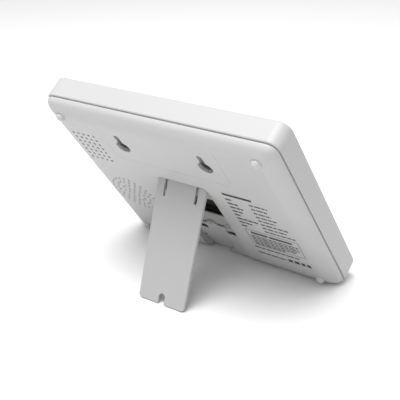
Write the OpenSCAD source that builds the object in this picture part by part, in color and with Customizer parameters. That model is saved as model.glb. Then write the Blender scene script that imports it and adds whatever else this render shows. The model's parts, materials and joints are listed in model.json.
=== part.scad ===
// Table-top digital picture frame, standing on its fold-out leg.
// The case is drawn upright in its own panel frame: x across the picture, y from the front
// face towards the back, z up along the panel. stand() then leans every piece back and sets
// the lowest edge on z = 0, with the origin at the middle of the footprint.

/* [Case] */
// Width of the case
case_w = 160; // [158:1:170]
// Height of the case, along the panel
case_h = 141; // [140:1:148]
// Depth of the front bezel, from its face to the joint line
bezel_d = 13.7; // [13.5:0.1:14.5]
// Depth of the back cover behind the joint line
cover_d = 7.4; // [7.2:0.1:8]
// Radius of the bezel's four corners
corner_r = 7.2; // [6:0.1:8]
// Wall thickness of both shells
wall = 2; // [1.8:0.1:2.2]
// How far the back cover sits in from the bezel's sides
cover_inset = 0.9; // [0.7:0.1:1.2]
// Width of the rounded edge that runs round the back cover
pillow_w = 11; // [10:0.5:12]

/* [Stand] */
// How far the panel leans back from upright, in degrees
lean = 34.2; // [28:0.1:36]
// Angle between the open leg and the panel, in degrees
leg_open = 55.6; // [50:0.1:58]
// Height of the leg's hinge axis above the panel's bottom edge
hinge_z = 85.5; // [84:0.5:87]
// Width of the leg at the hinge
leg_w = 35.2; // [34:0.2:36]
// Width of the leg at its foot
leg_foot_w = 33.6; // [32:0.2:34]
// Thickness of the leg
leg_t = 2; // [1.8:0.1:2]

/* [Screen] */
// Width of the picture area, for a 5.6 inch 4:3 panel
view_w = 113; // [100:1:116]
// Height of the picture area
view_h = 84.8; // [75:0.1:88]

/* [Wall hanging] */
// Distance between the two keyholes
keyhole_pitch = 58.3; // [50:0.1:62]
// Radius of a keyhole's round part, where a screw head goes in
keyhole_r = 4.6; // [4:0.1:4.8]
// Width of a keyhole's slot
keyhole_slot = 3.4; // [3:0.1:4]

/* [Hidden] */
$fn = 48;
gap = 0.3;                     // play between pieces that move past each other
cut = 1;                       // how far a cutting shape runs past the face it opens

// Case
total_d = bezel_d + cover_d;   // the flat back lies at y = total_d
mid_z = case_h / 2;
groove_h = 0.6;                // shadow gap at the joint line
groove_in = 1.5;               // how far in from the sides that gap reaches
tongue_in = wall + 0.35;
tongue_t = 1.2;
tongue_h = 1.6;
pillow_h = cover_d - groove_h;
// The rounded edge's section is a small arc that turns tangentially into a large one
small_r = 4.5;
large_r = (pow(pillow_w - small_r, 2) + pow(pillow_h, 2) - pow(small_r, 2)) / (2 * (pillow_h - small_r));
arc_turn = atan2(pillow_w - small_r, large_r - pillow_h);
front_edge_r = 1.4;
rear_edge_r = 0.7;
boss_x = case_w / 2 - 12.2;
boss_z = 10.5;
boss_r = 3.3;
boss_top = 12;                 // where bezel bosses and cover bosses meet
screw_seat = total_d - 4.6;
foot_r = 2.9;
foot_h = 2.2;
dome_r = (foot_r * foot_r + foot_h * foot_h) / (2 * foot_h);

// Stand
barrel_r = 2;
axis_y = total_d - barrel_r - 0.2;
pin_r = 1.2;
pin_fit = 0.05;
pin_len = 1.7;
recess_w = leg_w + 2 * gap;
top_gap = 0.9;                 // clearance above the leg's barrel
recess_top = hinge_z + barrel_r + top_gap;
recess_r = 3;
shelf_y = axis_y - gap;        // floor of the leg's recess
block_in = shelf_y - 2.8;      // inner face of the recess's floor
hinge_in = total_d - 7.7;      // inner face of the thicker block under the hinge
block_w = recess_w + 2 * pin_len + 3;
slit_x = 11.3;
slit_w = 1.9;
slit_len = 10.6;
lug_w = 14;                    // stop lug behind the axis; it holds the leg open
lug_len = 3.4;
lug_t = 1.8;
lug_rest = 1.45;               // edge the lug lands on, this far below the axis
window_w = 32;
window_z0 = 53.5;
window_z1 = 71.7;
plate_z0 = 40.9;
plate_t = 0.8;
ear_x = 11.4;
ear_w = 5.6;
ear_z0 = 34.4;
slot_z0 = 30.2;
slot_x = 10.8;
slot_w = 7.4;
lip_t = 0.7;                    // thickness of the recess floor beside the slots
tab_x = 15.2;                  // screws that hold the hinge bracket
tab_z = window_z0 - 4.8;
nib_w = 6;
nib_d = 2.6;
nib_h = 1.2;
catch_x = 15.6;
catch_z = 18;
catch_r = 0.8;
pip_len = 1.5;
ramp_slope = 6.5;
ramp_z = 26;                   // the finger hollow starts at this height
relief_x = 13.2;               // the window's lower part, behind the catch plate
notch_w = 4.4;
notch_h = 6.4;

// Keyholes
keyhole_z = 113.4;
keyhole_tip = 124.2;
pocket_w = 12;
pocket_d = 3.6;
pocket_wall = 1.2;

// Screen module
module_w = 127;
module_h = 98.6;
gasket_t = 0.4;
module_y = wall + gasket_t;
glass_y = module_y + 0.45;
glass_t = 1.4;
tray_y = glass_y + glass_t + 0.05;
tray_floor = 6.85;
tray_back = 8;
bracket_t = 0.8;
post_x = 48;
post_off = 4.6;                // bracket posts stand this far outside the screen module

// Main board, behind the screen
board_y = 8.8;
board_t = 1.6;
board_back = board_y + board_t;
board_x0 = 8;
board_x1 = 77;
board_z0 = 26;
board_z1 = 114;
board_post_x = 66.8;
board_hole_x = 13;
board_hole_z = [31, 109];
wall_in = case_w / 2 - wall;   // inner face of the side wall that carries the sockets

// Sockets, keys and switch along that side wall
dc_z = 38;
dc_y = 5.6;
usb_z = 50;
usb_y = 6.7;
audio_z = 61.5;
audio_y = 6.1;
switch_z = 72;
side_y = 6.4;
switch_travel = 2;
knob_w = 2.6;
key_z0 = 81.5;
key_pitch = 7;
key_r = 1.7;
key_long = 2;                  // straight part of a key cap between its two round ends
key_proud = 0.9;
card_z = 88;
card_y = 11.85;
card_w = 24.6;
card_t = 2.3;

// Display cable
flex_x = 26;
flex_w = 16;
flex_z = 107;
flex_t = 0.2;
flex_top = mid_z + module_h / 2 + 0.3;

// Speaker and vents
speaker_x = 53.5;
speaker_z = 56;
speaker_r = 18;
speaker_y = total_d - wall;
ring_step = 3.95;
grille_hole_r = 0.8;
plug_x = 29;
plug_z = 60;
vent_x0 = 50.5;
vent_z0 = 92.4;
vent_pitch = 4.05;
vent_hole_r = 0.9;

// Tilted rest position, worked out from the edge that touches the table
sl = sin(lean);
cl = cos(lean);
cover_low = cl * (cover_inset + small_r) - sl * (total_d - pillow_h) - small_r;
bezel_low = cl * rear_edge_r - sl * (bezel_d - rear_edge_r) - rear_edge_r;
table_z = min(cover_low, bezel_low);
leg_fall = cos(leg_open) * cl + sin(leg_open) * sl;
leg_run = sin(leg_open) * cl - cos(leg_open) * sl;
leg_len = (hinge_z * cl - axis_y * sl - table_z) / leg_fall;
foot_corner_y = hinge_z * sl + axis_y * cl + leg_len * leg_run + barrel_r * leg_fall;
panel_top_y = (case_h - cover_inset - small_r) * sl + (total_d - pillow_h) * cl + small_r;
bumper_y = (case_h - boss_z) * sl + (total_d + foot_h - dome_r) * cl + dome_r;
front_y = front_edge_r * (sl + cl - 1);
mid_y = (front_y + max(foot_corner_y, panel_top_y, bumper_y)) / 2;

// ---------- placing ----------

module stand() translate([-key_proud / 2, -mid_y, -table_z]) rotate([-lean, 0, 0]) children();

module opened() translate([0, axis_y, hinge_z]) rotate([leg_open, 0, 0]) children();

module mirrored() {
    children();
    mirror([1, 0, 0]) children();
}

// ---------- plain shapes ----------

// A box from its lowest and highest corners
module span(a, b) translate(a) cube(b - a);

// A cylinder along y, from y0 to y1
module post(x, z, r, y0, y1) translate([x, y1, z]) rotate([90, 0, 0]) cylinder(r = r, h = y1 - y0);

// A cylinder along x, from x0 to x1
module rod(y, z, r, x0, x1) translate([x0, y, z]) rotate([0, 90, 0]) cylinder(r = r, h = x1 - x0);

// A cylinder along z, from z0 to z1
module pole(x, y, r, z0, z1) translate([x, y, z0]) cylinder(r = r, h = z1 - z0);

module round_rect(w, h, r) {
    square([w - 2 * r, h], center = true);
    square([w, h - 2 * r], center = true);
    for (x = [-1, 1], y = [-1, 1])
        translate([x * (w / 2 - r), y * (h / 2 - r)]) circle(r = r);
}

// A rounded plate centred on the screen, from y0 to y1
module plate(w, h, r, y0, y1)
    translate([0, y1, mid_z]) rotate([90, 0, 0]) linear_extrude(y1 - y0) round_rect(w, h, r);

// A plain plate centred on the screen
module sheet_plate(w, h, y0, y1)
    span([-w / 2, y0, mid_z - h / 2], [w / 2, y1, mid_z + h / 2]);

// A tube bent once, made of two straight runs and a ball at the bend
module bent_wire(p, q, s, r) {
    for (e = [[p, q], [q, s]]) {
        d = e[1] - e[0];
        translate(e[0]) rotate([0, acos(d.z / norm(d)), atan2(d.y, d.x)]) cylinder(r = r, h = norm(d));
    }
    translate(q) sphere(r = r);
}

// ---------- front bezel ----------

// A plate whose edge at y0 is rounded with radius r0 and at y1 with radius r1
module soft_plate(w, h, r, y0, y1, r0, r1) {
    plate(w, h, r, y0 + r0, y1 - r1);
    for (e = [[y0, y0 + r0, r0], [y1, y1 - r1, r1]]) {
        plate(w - 2 * e[2], h - 2 * e[2], r - e[2], min(e[0], e[1]), max(e[0], e[1]));
        for (s = [-1, 1]) {
            rod(e[1], mid_z + s * (h / 2 - e[2]), e[2], -w / 2 + r, w / 2 - r);
            pole(s * (w / 2 - e[2]), e[1], e[2], mid_z - h / 2 + r, mid_z + h / 2 - r);
        }
        for (x = [-1, 1], z = [-1, 1])
            translate([x * (w / 2 - r), e[1], mid_z + z * (h / 2 - r)]) rotate([90, 0, 0])
                rotate_extrude() translate([r - e[2], 0]) circle(r = e[2]);
    }
}

module bezel_posts() {
    mirrored() for (z = [boss_z, case_h - boss_z]) post(boss_x, z, boss_r, wall - 0.2, boss_top);
    mirrored() for (s = [-1, 1])
        post(post_x, mid_z + s * (module_h / 2 + post_off), 2.5, wall - 0.2, tray_back);
    for (z = board_hole_z) post(board_post_x, z, 2.3, wall - 0.2, board_y);
}

module key_hole(z, grow) {
    for (s = [-1, 1])
        rod(side_y, z + s * key_long / 2, key_r + grow, wall_in - cut, case_w / 2 + cut);
    span([wall_in - cut, side_y - key_r - grow, z - key_long / 2],
        [case_w / 2 + cut, side_y + key_r + grow, z + key_long / 2]);
}

module side_openings() {
    rod(dc_y, dc_z, 3.4, wall_in - cut, case_w / 2 + cut);
    span([wall_in - cut, usb_y - 2.3, usb_z - 4.3], [case_w / 2 + cut, usb_y + 2.3, usb_z + 4.3]);
    rod(audio_y, audio_z, 3, wall_in - cut, case_w / 2 + cut);
    span([wall_in - cut, side_y - 1.3, switch_z - knob_w / 2 - gap],
        [case_w / 2 + cut, side_y + 1.3, switch_z + knob_w / 2 + switch_travel + gap]);
    for (i = [0:4]) key_hole(key_z0 + i * key_pitch, gap);
    span([wall_in - cut, card_y - card_t / 2, card_z - card_w / 2],
        [case_w / 2 + cut, card_y + card_t / 2, card_z + card_w / 2]);
}

module front_bezel() color("white") stand() difference() {
    union() {
        difference() {
            soft_plate(case_w, case_h, corner_r, 0, bezel_d, front_edge_r, rear_edge_r);
            plate(case_w - 2 * wall, case_h - 2 * wall, corner_r - wall, wall, bezel_d + cut);
        }
        bezel_posts();
    }
    sheet_plate(view_w + 1, view_h + 1, -cut, wall + cut);
    mirrored() for (z = [boss_z, case_h - boss_z]) post(boss_x, z, 1.1, 4, boss_top + cut);
    mirrored() for (s = [-1, 1])
        post(post_x, mid_z + s * (module_h / 2 + post_off), 0.9, 3, tray_back + cut);
    for (z = board_hole_z) post(board_post_x, z, 0.9, 3, board_y + cut);
    side_openings();
}

// ---------- back cover ----------

// Half of the back's section, thinned by t: x runs in from the rim, y rises from the groove
module edge_section(half, t) {
    reach = 2 * large_r;
    intersection() {
        translate([pillow_w, pillow_h - large_r]) circle(r = large_r - t);
        polygon([[pillow_w, pillow_h - large_r],
            [pillow_w - reach * sin(arc_turn), pillow_h - large_r + reach * cos(arc_turn)],
            [pillow_w + 1, pillow_h + reach], [pillow_w + 1, pillow_h - large_r]]);
    }
    translate([small_r, 0]) circle(r = small_r - t);
    translate([pillow_w, -pillow_h]) square([half - pillow_w + 1, 2 * pillow_h - t]);
    translate([t, -pillow_h]) square([half - t, pillow_h]);
}

// A bar with that section on both of its long sides
module arched_bar(width, t) linear_extrude(3 * case_w, center = true) for (m = [0, 1])
    mirror([m, 0]) translate([-width / 2, 0]) edge_section(width / 2, t);

// The pillow-shaped back, thinned by t on every side
module pillow(t, y0) intersection() {
    translate([0, total_d - pillow_h, mid_z]) arched_bar(case_w - 2 * cover_inset, t);
    translate([0, total_d - pillow_h, mid_z]) rotate([0, 90, 0]) arched_bar(case_h - 2 * cover_inset, t);
    plate(case_w - 2 * (cover_inset + t), case_h - 2 * (cover_inset + t),
        corner_r - cover_inset - t, y0, total_d - t);
}

module rim_band(inset, thick, y0, y1) difference() {
    plate(case_w - 2 * inset, case_h - 2 * inset, corner_r - inset, y0, y1);
    plate(case_w - 2 * (inset + thick), case_h - 2 * (inset + thick),
        corner_r - inset - thick, y0 - cut, y1 + cut);
}

module recess_block() intersection() {
    union() {
        span([-block_w / 2, block_in, 0], [block_w / 2, total_d, recess_top + 2.2]);
        span([-block_w / 2, hinge_in, window_z1], [block_w / 2, total_d, recess_top + 2.2]);
        span([-block_w / 2, block_in - 1.2, 0], [block_w / 2, total_d, ramp_z + 2]);
    }
    pillow(0.3, bezel_d + groove_h);
}

module keyhole_box() difference() {
    span([keyhole_pitch / 2 - pocket_w / 2 - pocket_wall, total_d - wall - pocket_d - pocket_wall,
        keyhole_z - pocket_w / 2 - pocket_wall],
        [keyhole_pitch / 2 + pocket_w / 2 + pocket_wall, total_d - wall / 2, keyhole_tip + 3]);
    span([keyhole_pitch / 2 - pocket_w / 2, total_d - wall - pocket_d, keyhole_z - pocket_w / 2],
        [keyhole_pitch / 2 + pocket_w / 2, total_d - wall, keyhole_tip + 1.6]);
}

module keyhole_cut() {
    post(keyhole_pitch / 2, keyhole_z, keyhole_r, total_d - wall - 0.5, total_d + cut);
    post(keyhole_pitch / 2, keyhole_tip - keyhole_slot / 2, keyhole_slot / 2,
        total_d - wall - 0.5, total_d + cut);
    span([keyhole_pitch / 2 - keyhole_slot / 2, total_d - wall - 0.5, keyhole_z],
        [keyhole_pitch / 2 + keyhole_slot / 2, total_d + cut, keyhole_tip - keyhole_slot / 2]);
}

module vent_holes() for (i = [0:4], k = [0:6])
    post(vent_x0 + i * vent_pitch, vent_z0 + k * vent_pitch, vent_hole_r,
        total_d - wall - cut, total_d + cut);

module grille_holes() for (ring = [0:4]) {
    count = ring == 0 ? 1 : 6 * ring;
    for (i = [0:count - 1])
        post(speaker_x + ring * ring_step * cos(i * 360 / count),
            speaker_z + ring * ring_step * sin(i * 360 / count), grille_hole_r,
            total_d - wall - cut, total_d + cut);
}

// Fine decorative line round the upper field of the back
module field_line() difference() {
    field_plate(0);
    field_plate(0.35);
}

module field_plate(edge) {
    half = 41 - edge;
    low = 100 + edge;
    r = 4 - edge;
    y0 = total_d - 0.3;
    y1 = total_d + cut;
    mirrored() post(half - r, low + r, r, y0, y1);
    span([-half + r, y0, low], [half - r, y1, low + r + 0.1]);
    span([-half, y0, low + r], [half, y1, 134]);
}

module leg_recess() {
    span([-recess_w / 2, shelf_y, -cut], [recess_w / 2, total_d + cut, recess_top - recess_r]);
    span([-recess_w / 2 + recess_r, shelf_y, -cut],
        [recess_w / 2 - recess_r, total_d + cut, recess_top]);
    mirrored() post(recess_w / 2 - recess_r, recess_top - recess_r, recess_r, shelf_y, total_d + cut);
    rod(axis_y, hinge_z, barrel_r + gap, -recess_w / 2, recess_w / 2);
    rod(axis_y, hinge_z, pin_r + pin_fit, -recess_w / 2 - pin_len - 0.3, recess_w / 2 + pin_len + 0.3);
    // room for the stop lug
    span([-lug_w / 2 - gap, axis_y - lug_len - 0.9, hinge_z - lug_rest],
        [lug_w / 2 + gap, axis_y + 0.1, hinge_z + lug_len + 0.7]);
    // window onto the hinge bracket
    span([-window_w / 2, hinge_in - cut, window_z0], [window_w / 2, shelf_y + cut, window_z1]);
    span([-relief_x, block_in - cut, window_z0 - 4.4], [relief_x, shelf_y, window_z0 + cut]);
    // seat of the catch plate, the slots beside its nib, its two ears and the slots below them
    span([-recess_w / 2, shelf_y - plate_t, plate_z0 - 0.2],
        [recess_w / 2, shelf_y + cut, window_z0 + cut]);
    mirrored() span([nib_w / 2 - 1.2, block_in - cut, plate_z0 - 2.7],
        [ear_x - ear_w / 2 - 0.3, shelf_y + cut, plate_z0 + 0.1]);
    mirrored() span([nib_w / 2 - 1.2, block_in - cut, plate_z0 - 7.5],
        [ear_x - ear_w / 2 - 0.3, shelf_y - lip_t, plate_z0 - 2.6]);
    mirrored() span([ear_x - ear_w / 2 - 0.5, shelf_y - plate_t, ear_z0 - 0.3],
        [ear_x + ear_w / 2 + 0.5, shelf_y + cut, plate_z0]);
    mirrored() span([slot_x - slot_w / 2, block_in - cut, slot_z0],
        [slot_x + slot_w / 2, shelf_y + cut, ear_z0 - 0.3]);
    mirrored() span([slot_x - slot_w / 2, block_in - 1.2 - cut, slot_z0 - 3.6],
        [slot_x + slot_w / 2, shelf_y - lip_t, slot_z0 + 0.1]);
    mirrored() post(ear_x, plate_z0 + 0.4, 0.9, block_in - cut, shelf_y);
    // hole that takes the leg's catch pip
    post(catch_x, catch_z, catch_r + 0.35, shelf_y - 2.2, shelf_y + cut);
    finger_ramp();
}

// Hollow that slopes down to the bottom edge, so that a fingertip reaches under the leg
module finger_ramp() intersection() {
    translate([24.6, 0, ramp_z]) scale([1, 1, 1.01]) post(0, 0, 31.8, total_d - 8, total_d + cut);
    span([-recess_w / 2 + 4, total_d - 9, -cut], [recess_w / 2 - 0.6, total_d + cut, ramp_z]);
    translate([0, shelf_y, ramp_z]) rotate([-ramp_slope, 0, 0]) span([-30, 0, -30], [30, 8, 0]);
}

module cover_bosses() mirrored() for (z = [boss_z, case_h - boss_z])
    post(boss_x, z, boss_r, boss_top, total_d - wall + 0.3);

module speaker_seat() post(speaker_x, speaker_z, speaker_r + 1.4, speaker_y - 3, total_d - wall / 2);

module back_cover() color("white") stand() difference() {
    union() {
        difference() {
            union() {
                pillow(0, bezel_d + groove_h);
                plate(case_w - 2 * groove_in, case_h - 2 * groove_in, corner_r - groove_in,
                    bezel_d, bezel_d + groove_h + 0.4);
            }
            pillow(wall, bezel_d - cut);
        }
        rim_band(tongue_in, tongue_t, bezel_d - tongue_h, bezel_d + 0.4);
        recess_block();
        mirrored() keyhole_box();
        cover_bosses();
        speaker_seat();
    }
    mirrored() keyhole_cut();
    vent_holes();
    grille_holes();
    field_line();
    leg_recess();
    mirrored() for (z = [boss_z, case_h - boss_z]) {
        post(boss_x, z, 1.5, boss_top - cut, total_d);
        post(boss_x, z, 2.6, screw_seat, total_d + cut);
    }
    post(speaker_x, speaker_z, speaker_r + 0.2, speaker_y - 3 - cut, speaker_y);
    mirrored() post(tab_x, tab_z, 1, block_in - cut, block_in + 1);
    // the tongue is cut away behind the card slot
    span([wall_in - 5, bezel_d - tongue_h - cut, card_z - card_w / 2 - 2],
        [wall_in + cut, bezel_d, card_z + card_w / 2 + 2]);
}

// ---------- stand leg, drawn folded flat, hanging down from its axis ----------

module leg_outline() {
    foot_r2 = 2.2;
    side = (leg_w - leg_foot_w) / 2;
    difference() {
        union() {
            polygon([[-leg_w / 2, 0], [leg_w / 2, 0], [leg_w / 2 - side, -leg_len + foot_r2],
                [-leg_w / 2 + side, -leg_len + foot_r2]]);
            translate([-leg_foot_w / 2 + foot_r2, -leg_len])
                square([leg_foot_w - 2 * foot_r2, foot_r2 + 1]);
            for (s = [-1, 1]) translate([s * (leg_foot_w / 2 - foot_r2), -leg_len + foot_r2])
                circle(r = foot_r2);
        }
        for (s = [-1, 1]) {
            translate([s * slit_x - slit_w / 2, -slit_len + slit_w / 2])
                square([slit_w, slit_len + 2 * barrel_r]);
            translate([s * slit_x, -slit_len + slit_w / 2]) circle(r = slit_w / 2);
        }
        translate([-notch_w / 2, -leg_len - 1]) square([notch_w, notch_h - notch_w / 2 + 1]);
        translate([0, -leg_len + notch_h - notch_w / 2]) circle(r = notch_w / 2);
    }
}

module stand_leg() color("white") stand() opened() difference() {
    union() {
        translate([0, barrel_r, 0]) rotate([90, 0, 0]) linear_extrude(leg_t) leg_outline();
        for (s = [-1, 1]) rod(0, 0, barrel_r, s > 0 ? slit_x + slit_w / 2 : -leg_w / 2,
            s > 0 ? leg_w / 2 : -slit_x - slit_w / 2);
        rod(0, 0, barrel_r, -slit_x + slit_w / 2, slit_x - slit_w / 2);
        rod(0, 0, pin_r, leg_w / 2 - 0.5, recess_w / 2 + pin_len);
        rod(0, 0, pin_r, -recess_w / 2 - pin_len, -leg_w / 2 + 0.5);
        span([-lug_w / 2, -lug_t - 0.3, 0], [lug_w / 2, -0.3, lug_len]);
        post(catch_x, catch_z - hinge_z, catch_r, -pip_len, leg_t / 2);
    }
    // pocket over the catch plate's nib
    span([-nib_w / 2 - 0.35, -cut, plate_z0 - 0.5 - hinge_z],
        [nib_w / 2 + 0.35, nib_h + 0.1, plate_z0 + nib_d + 0.5 - hinge_z]);
}

// ---------- hinge bracket and catch plate ----------

module hinge_bracket() color("dimgray") stand() {
    w = window_w + 3;
    z0 = window_z0 - 1.2;
    z1 = window_z1 - 0.1;
    y0 = block_in - 3.9;
    difference() {
        span([-w / 2, y0, z0 - 1.2], [w / 2, block_in, z1]);
        span([-w / 2 + 1.2, y0 + 1.2, z0], [w / 2 - 1.2, block_in + cut, z1 - 1.2]);
    }
    difference() {
        span([-w / 2, block_in - 1.2, z0 - 6], [w / 2, block_in, z0 - 1.2]);
        mirrored() post(tab_x, tab_z, 1.1, block_in - 2, block_in + cut);
    }
}

module pan_screw(x, z, seat, head_r, head_h, shank_r, shank_l) {
    post(x, z, head_r, seat, seat + head_h);
    post(x, z, shank_r, seat - shank_l, seat + 0.1);
}

module hinge_bracket_screws() color("silver") stand() mirrored()
    translate([0, 2 * (block_in - 1.2), 0]) mirror([0, 1, 0])
        pan_screw(tab_x, tab_z, block_in - 1.2, 1.9, 0.9, 0.95, 2);

module leg_catch_plate() color("whitesmoke") stand() difference() {
    union() {
        span([-recess_w / 2 + 0.1, shelf_y - plate_t, plate_z0],
            [recess_w / 2 - 0.1, shelf_y, window_z0]);
        mirrored() span([ear_x - ear_w / 2, shelf_y - plate_t, ear_z0],
            [ear_x + ear_w / 2, shelf_y, plate_z0 + 0.1]);
        span([-nib_w / 2, shelf_y - plate_t, plate_z0], [nib_w / 2, shelf_y + nib_h, plate_z0 + nib_d]);
    }
    mirrored() post(ear_x, plate_z0 + 0.4, 1.1, shelf_y - 2, shelf_y + cut);
    mirrored() post(ear_x, plate_z0 + 0.4, 2.5, shelf_y - plate_t / 2, shelf_y + cut);
}

module catch_plate_screws() color("silver") stand() mirrored()
    pan_screw(ear_x, plate_z0 + 0.4, shelf_y - plate_t / 2, 2.2, 0.45, 0.85, 2.6);

// ---------- bumper feet and case screws ----------

module bumper_feet() color("white") stand() mirrored() for (z = [boss_z, case_h - boss_z]) {
    post(boss_x, z, 2.5, total_d - 2.4, total_d + 0.1);
    intersection() {
        translate([boss_x, total_d + foot_h - dome_r, z]) sphere(r = dome_r);
        post(boss_x, z, foot_r, total_d, total_d + foot_h + cut);
    }
}

module case_screws() color("silver") stand() mirrored() for (z = [boss_z, case_h - boss_z])
    pan_screw(boss_x, z, screw_seat, 2.3, 1.5, 1.05, 10);

// ---------- screen module ----------

module screen_gasket() color("darkslategray") stand() difference() {
    sheet_plate(view_w + 10, view_h + 10, wall, wall + gasket_t);
    sheet_plate(view_w + 3, view_h + 3, wall - cut, wall + gasket_t + cut);
}

module lcd_metal_frame() color("lightsteelblue") stand() difference() {
    sheet_plate(module_w, module_h, module_y, tray_floor);
    sheet_plate(module_w - 0.8, module_h - 0.8, module_y + 0.4, tray_floor + cut);
    sheet_plate(view_w + 2, view_h + 2, module_y - cut, module_y + cut);
    span([flex_x - flex_w / 2 - 0.4, glass_y - 0.1, mid_z + module_h / 2 - 0.6],
        [flex_x + flex_w / 2 + 0.4, tray_floor + cut, mid_z + module_h / 2 + cut]);
}

module lcd_glass() color("black") stand()
    sheet_plate(module_w - 1.4, module_h - 1.4, glass_y, glass_y + glass_t);

module diffuser_sheet() color("whitesmoke") stand()
    sheet_plate(module_w - 6.4, module_h - 6.4, tray_y + 0.05, tray_y + 0.4);

module light_guide() color("aliceblue") stand()
    sheet_plate(module_w - 7, module_h - 11, tray_y + 0.45, tray_floor - 0.05);

module backlight_bar() color("khaki") stand()
    span([-55, tray_y + 0.5, mid_z - module_h / 2 + 3.1],
        [55, tray_floor - 0.05, mid_z - module_h / 2 + 5.3]);

module lcd_rear_tray() color("gainsboro") stand() difference() {
    union() {
        sheet_plate(module_w - 1.2, module_h - 1.2, tray_y, tray_back);
        for (z = board_hole_z) post(board_hole_x, z, 2.5, tray_back - 0.5, board_y);
    }
    sheet_plate(module_w - 6, module_h - 6, tray_y - cut, tray_floor);
    for (z = board_hole_z) post(board_hole_x, z, 0.8, tray_floor + 0.3, board_y + cut);
}

// Steel strip that clamps one long edge of the screen module; s is 1 for the top, -1 below
module screen_bracket(s) difference() {
    union() {
        span([-post_x - 4, tray_back, mid_z + (s > 0 ? module_h / 2 + 1.2 : -module_h / 2 - 7.4)],
            [post_x + 4, tray_back + bracket_t, mid_z + (s > 0 ? module_h / 2 + 7.4 : -module_h / 2 - 1.2)]);
        mirrored() span([post_x - 4, tray_back, mid_z + (s > 0 ? module_h / 2 - 3 : -module_h / 2 - 2)],
            [post_x + 4, tray_back + bracket_t, mid_z + (s > 0 ? module_h / 2 + 2 : -module_h / 2 + 3)]);
    }
    mirrored() post(post_x, mid_z + s * (module_h / 2 + post_off), 1.2, tray_back - cut, tray_back + 2);
}

module screen_bracket_top() color("silver") stand() screen_bracket(1);

module screen_bracket_bottom() color("silver") stand() screen_bracket(-1);

module screen_bracket_screws() color("gray") stand() mirrored() for (s = [-1, 1])
    pan_screw(post_x, mid_z + s * (module_h / 2 + post_off), tray_back + bracket_t, 1.9, 1.1, 0.85, 4);

// ---------- main board ----------

module main_board() color("darkgreen") stand() difference() {
    span([board_x0, board_y, board_z0], [board_x1, board_back, board_z1]);
    for (z = board_hole_z, x = [board_hole_x, board_post_x])
        post(x, z, 1.1, board_y - cut, board_back + cut);
}

module board_screws() color("silver") stand() for (z = board_hole_z, x = [board_hole_x, board_post_x])
    pan_screw(x, z, board_back, 1.8, 1, 0.75, 2.6);

// A chip package on the back of the board
module chip(x, z, w, h, t)
    span([x - w / 2, board_back, z - h / 2], [x + w / 2, board_back + t, z + h / 2]);

module processor_chip() color("black") stand() {
    chip(34, 76, 14, 14, 1);
    for (i = [-6:6], s = [-1, 1]) {
        chip(34 + i, 76 + s * 7.6, 0.45, 1.3, 0.3);
        chip(34 + s * 7.6, 76 + i, 1.3, 0.45, 0.3);
    }
}

module memory_chips() color("black") stand() for (x = [24.5, 37]) {
    chip(x, 95, 8, 13, 0.9);
    for (i = [-6:6]) for (s = [-1, 1]) chip(x + s * 4.6, 95 + i * 0.95, 1.3, 0.4, 0.3);
}

module capacitors() color("silver") stand() for (p = [[43.5, 108], [49.5, 108], [29, 34]]) {
    chip(p.x, p.y, 4.4, 4.4, 0.6);
    post(p.x, p.y, 2, board_back + 0.5, board_back + 4.3);
}

module inductors() color("dimgray") stand() for (p = [[22, 34], [37, 34]]) {
    chip(p.x, p.y, 6, 6, 0.7);
    post(p.x, p.y, 2.7, board_back + 0.6, board_back + 2.6);
}

module crystal() color("silver") stand() {
    chip(17.5, 68, 6, 4.4, 1.1);
    for (s = [-1, 1]) post(17.5 + s * 3, 68, 2.2, board_back, board_back + 1.1);
}

module card_socket() color("silver") stand() difference() {
    span([wall_in - 28.4, board_back, card_z - 13.6],
        [wall_in - 0.2, board_back + 2.8, card_z + 13.6]);
    span([wall_in - 27.2, board_back + 0.3, card_z - 12.2],
        [wall_in + cut, board_back + 2.55, card_z + 12.2]);
}

module usb_socket() color("silver") stand() difference() {
    span([wall_in - 9.4, usb_y - 2, usb_z - 3.9], [wall_in - 0.2, board_y, usb_z + 3.9]);
    span([wall_in - 8.6, usb_y - 1.65, usb_z - 3.5], [wall_in + cut, usb_y + 1.65, usb_z + 3.5]);
    span([wall_in - 9.4 - cut, usb_y + 2, usb_z - 5], [wall_in + cut, board_y - 0.01, usb_z - 3]);
}

module dc_jack() color("black") stand() difference() {
    span([wall_in - 12.8, dc_y - 3.2, dc_z - 4.4], [wall_in - 0.2, board_y, dc_z + 4.4]);
    rod(dc_y, dc_z, 2.85, wall_in - 9.8, wall_in + cut);
}

module dc_jack_pin() color("silver") stand() {
    rod(dc_y, dc_z, 1, wall_in - 10.4 + 0.6, wall_in - 1.4);
}

module audio_jack() color("black") stand() difference() {
    span([wall_in - 12.4, audio_y - 2.6, audio_z - 3.2], [wall_in - 0.2, board_y, audio_z + 3.2]);
    rod(audio_y, audio_z, 1.8, wall_in - 14, wall_in + cut);
}

// ---------- keys and power switch ----------

module key_switches() color("dimgray") stand() for (i = [0:4]) {
    z = key_z0 + i * key_pitch;
    span([wall_in - 6, side_y - 2, z - 2.3], [wall_in - 2.8, board_y, z + 2.3]);
    rod(side_y, z, 0.9, wall_in - 2.9, wall_in - 2);
}

// One key: an oval cap in the wall, and a flange behind the wall that keeps it in
module key(i) {
    z = key_z0 + i * key_pitch;
    reach = case_w / 2 + key_proud;
    for (s = [-1, 1]) rod(side_y, z + s * key_long / 2, key_r, wall_in - 0.8, reach);
    span([wall_in - 0.8, side_y - key_r, z - key_long / 2], [reach, side_y + key_r, z + key_long / 2]);
    span([wall_in - 1.3, side_y - key_r - 0.7, z - key_long / 2 - key_r - 0.3],
        [wall_in - 0.3, side_y + key_r + 0.4, z + key_long / 2 + key_r + 0.3]);
}

module menu_button() color("gainsboro") stand() key(4);
module up_button() color("gainsboro") stand() key(3);
module down_button() color("gainsboro") stand() key(2);
module enter_button() color("gainsboro") stand() key(1);
module play_button() color("gainsboro") stand() key(0);

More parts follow.
